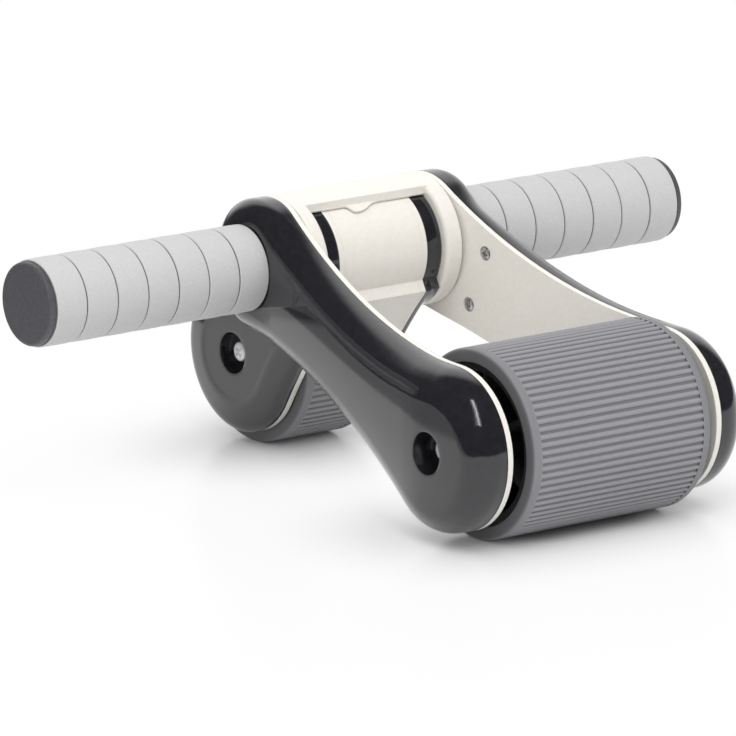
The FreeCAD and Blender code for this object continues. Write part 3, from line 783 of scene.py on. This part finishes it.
angle = foam("MULTIPLY", grid_place.outputs["Y"], 2 * math.pi)
rolled = add_node(foam_tree, "ShaderNodeCombineXYZ", {
    "X": foam("ADD", given["Start"], foam("MULTIPLY", along, given["Length"])),
    "Y": foam("ADD", given["Axis Y"], foam("MULTIPLY", radius, foam("COSINE", angle))),
    "Z": foam("ADD", given["Axis Z"], foam("MULTIPLY", radius, foam("SINE", angle))),
})
tube = add_node(foam_tree, "GeometryNodeSetPosition", {
    "Geometry": grid.outputs["Mesh"],
    "Position": rolled.outputs[0],
})
end_tree(foam_tree, tube.outputs[0], given["Material"])

# %% Make the two grips
GRIP_BANDS = 7.0
CUT_WIDTH = 0.55 * MM
CUT_DEPTH = 1.0 * MM
BAND_SWELL = 0.25 * MM
END_ROUND = 1.2 * MM

tube_low, tube_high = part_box("handlebar_tube")
bar_radius = (tube_high.z - tube_low.z) / 2
for side in ("left", "right"):
    low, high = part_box(f"grip_{side}")
    grip = grown(f"foam_grip_{side}", bpy.data.meshes.new("sleeve"), foam_tree, {
        "Start": low.x, "Length": high.x - low.x, "Radius": (high.z - low.z) / 2,
        "Bore": bar_radius, "Bands": GRIP_BANDS, "Cut Width": CUT_WIDTH, "Cut Depth": CUT_DEPTH,
        "Swell": BAND_SWELL, "End Round": END_ROUND, "Axis Y": bar_centre.y,
        "Axis Z": bar_centre.z, "Material": finishes["grip_foam"],
    })
    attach(grip, "frame")
    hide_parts(f"grip_{side}")


# %% [markdown]
# ## Cross-head fasteners
# Two small screws hold each front cover from the inside of its arm, and a bolt at the bottom of
# each well clamps an axle's end. All have a low domed head with a cross-shaped recess. The head
# could be cut with a boolean, but at this size a height map is cleaner: rings of points whose
# height drops inside the cross. One geometry tree then sets a copy of the fastener at each
# place, facing the way it is driven, each turned by its own chance angle from a fixed seed.

# %% Height of a cross-head
HEAD_RINGS = 26
HEAD_SIDES = 96
RIM_HEIGHT = 0.55
RECESS_REACH = 0.62
RECESS_WIDTH = 0.26
RECESS_DEPTH = 0.6
RECESS_SLOPE = 0.35
RECESS_RISE = 0.5


def smooth_step(value, low, high):
    """0 up to low, 1 from high on, and a soft slope between."""
    share = min(max((value - low) / (high - low), 0.0), 1.0)
    return share * share * (3 - 2 * share)


def recess_share(y, z, reach, width):
    """1 in the middle of the cross, 0 outside it, with short slopes at its walls."""
    slope = RECESS_SLOPE * width
    arms = []
    for along, across in ((abs(y), abs(z)), (abs(z), abs(y))):
        end = 1 - smooth_step(along, reach - slope, reach)
        side = 1 - smooth_step(across, width / 2 - slope / 2, width / 2 + slope / 2)
        arms.append(end * side)
    return max(arms)


def head_height(share, y, z, radius, height):
    """How high the head stands at a point, whose distance from the middle is a share of the radius."""
    dome = height * (RIM_HEIGHT + (1 - RIM_HEIGHT) * math.sqrt(max(1 - share ** 3, 0.0)))
    sunk = recess_share(y, z, RECESS_REACH * radius, RECESS_WIDTH * radius) * RECESS_DEPTH * height
    return dome - sunk * (1 - RECESS_RISE * share)


print("a head of 1 mm is", round(head_height(0.0, 0.0, 0.0, 1.0, 1.0), 3), "mm high in its recess")


# %% One fastener as rings of points
def circle(radius):
    """Points round the X axis, as (y, z)."""
    turns = [2 * math.pi * side / HEAD_SIDES for side in range(HEAD_SIDES)]
    return [(radius * math.cos(turn), radius * math.sin(turn)) for turn in turns]


def fastener_mesh(name, radius, height, shank_radius, shank_length):
    """A cross-head fastener along X: the seat at 0, the head on the plus side."""
    rings = []
    for ring in range(1, HEAD_RINGS + 1):
        share = ring / HEAD_RINGS
        rings.append([
            (head_height(share, y, z, radius, height), y, z) for y, z in circle(radius * share)
        ])
    for x, r in ((0.0, radius), (0.0, shank_radius), (-shank_length, shank_radius)):
        rings.append([(x, y, z) for y, z in circle(r)])
    verts = [((1 - RECESS_DEPTH) * height, 0.0, 0.0)] + [p for points in rings for p in points]
    verts.append((-shank_length, 0.0, 0.0))
    faces = []
    for side in range(HEAD_SIDES):
        after = (side + 1) % HEAD_SIDES
        faces.append((0, 1 + side, 1 + after))
        for ring in range(len(rings) - 1):
            first = 1 + ring * HEAD_SIDES
            second = first + HEAD_SIDES
            faces.append((first + side, second + side, second + after, first + after))
        last = 1 + (len(rings) - 1) * HEAD_SIDES
        faces.append((last + side, len(verts) - 1, last + after))
    mesh = bpy.data.meshes.new(name)
    mesh.from_pydata(verts, [], faces)
    return mesh


print("a fastener has", HEAD_RINGS, "rings of", HEAD_SIDES, "points on its head")

# %% A tree that sets fasteners in their places
fastener_tree, given = geometry_tree("set_fasteners", {
    "Fastener": "NodeSocketObject", "Seed": "NodeSocketInt", "Material": "NodeSocketMaterial",
})
source = add_node(fastener_tree, "GeometryNodeObjectInfo", {"Object": given["Fastener"]})
facing = add_node(
    fastener_tree, "GeometryNodeInputNamedAttribute", {"Name": "facing"}, data_type="FLOAT_VECTOR")
aim = add_node(fastener_tree, "FunctionNodeAlignRotationToVector", {
    "Vector": facing.outputs["Attribute"],
}, axis="X")
chance = add_node(fastener_tree, "FunctionNodeRandomValue", data_type="FLOAT")
feed(fastener_tree, active(chance.inputs, "Max"), math.pi)
feed(fastener_tree, active(chance.inputs, "Seed"), given["Seed"])
spin = add_node(fastener_tree, "FunctionNodeAxisAngleToRotation", {
    "Axis": (1.0, 0.0, 0.0),
    "Angle": active(chance.outputs),
})
turned = add_node(fastener_tree, "FunctionNodeRotateRotation", {
    "Rotation": aim.outputs[0],
    "Rotate By": spin.outputs[0],
}, rotation_space="LOCAL")
set_out = add_node(fastener_tree, "GeometryNodeInstanceOnPoints", {
    "Points": given["Geometry"],
    "Instance": source.outputs["Geometry"],
    "Rotation": turned.outputs[0],
})
end_tree(fastener_tree, set_out.outputs[0], given["Material"])

# %% Places of the fasteners
X_AXIS = 0
Z_AXIS = 2
OUTWARDS = 1
INWARDS = -1


def solids_of(node, split_axis):
    """The two solids of a node as boxes, split at the node's middle along one axis."""
    centre = middle(node)[split_axis]
    boxes = []
    for sign in (-1, 1):
        points = [v.co for v in nodes[node].data.vertices if (v.co[split_axis] - centre) * sign > 0]
        low = Vector([min(p[i] for p in points) for i in range(3)])
        high = Vector([max(p[i] for p in points) for i in range(3)])
        boxes.append((low, high))
    return boxes


def fastener_places(boxes, out):
    """The top of each head and the way along X that it faces, outwards or inwards."""
    places = []
    for low, high in boxes:
        side = 1 if low.x + high.x > 0 else -1
        way = side * out
        head_end = high.x if way > 0 else low.x
        places.append((Vector((head_end, (low.y + high.y) / 2, (low.z + high.z) / 2)), way))
    return places


screw_nodes = ["cover_screws_left", "cover_screws_right"]
screw_boxes = [box for node in screw_nodes for box in solids_of(node, Z_AXIS)]
front_boxes = solids_of("front_axle_bolts", X_AXIS)
rear_boxes = solids_of("rear_axle_bolts", X_AXIS)
print("fasteners:", len(screw_boxes), "screws,", len(front_boxes) + len(rear_boxes), "bolts")

# %% Make the screws and bolts
SCREW = {"radius": 3.0 * MM, "height": 2.0 * MM, "shank_radius": 1.5 * MM, "shank_length": 12.0 * MM}
BOLT = {"radius": 4.5 * MM, "height": 2.5 * MM, "shank_radius": 2.5 * MM, "shank_length": 16.0 * MM}


def fasteners(name, body, replaced, places, size, metal, seed):
    """One piece of fasteners that stands for the plain ones of the solid model."""
    shape = add_object(f"{name}_shape", fastener_mesh(name, **size))
    dots = bpy.data.meshes.new(f"{name}_places")
    dots.from_pydata([top - Vector((way * size["height"], 0, 0)) for top, way in places], [], [])
    facing_data = dots.attributes.new("facing", "FLOAT_VECTOR", "POINT")
    facing_data.data.foreach_set("vector", [v for _, way in places for v in (way, 0.0, 0.0)])
    piece = grown(name, dots, fastener_tree, {"Fastener": shape, "Seed": seed, "Material": metal})
    bpy.data.objects.remove(shape)
    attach(piece, body)
    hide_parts(*replaced)


bolt_steel = finishes["bolt_steel"]
screw_places = fastener_places(screw_boxes, INWARDS)
front_places = fastener_places(front_boxes, OUTWARDS)
rear_places = fastener_places(rear_boxes, OUTWARDS)
fasteners("cover_screw_set", "frame", screw_nodes, screw_places, SCREW, screw_steel, seed=3)
fasteners("front_bolt_pair", "frame", ["front_axle_bolts"], front_places, BOLT, bolt_steel, seed=5)
fasteners("rear_bolt_pair", "rear_fork", ["rear_axle_bolts"], rear_places, BOLT, bolt_steel, seed=8)


# %% [markdown]
# ## Last look at the size
# The looks may not change the size of the solid model. The box straight after loading is taken
# from the box now, and the growth along each axis is printed in millimetres.

# %% Write the sizes and finish
seen_low, seen_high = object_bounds()
growth = (seen_high - seen_low) - (cad_high - cad_low)
print("grown by, in mm:", [round(g / MM, 3) for g in growth])
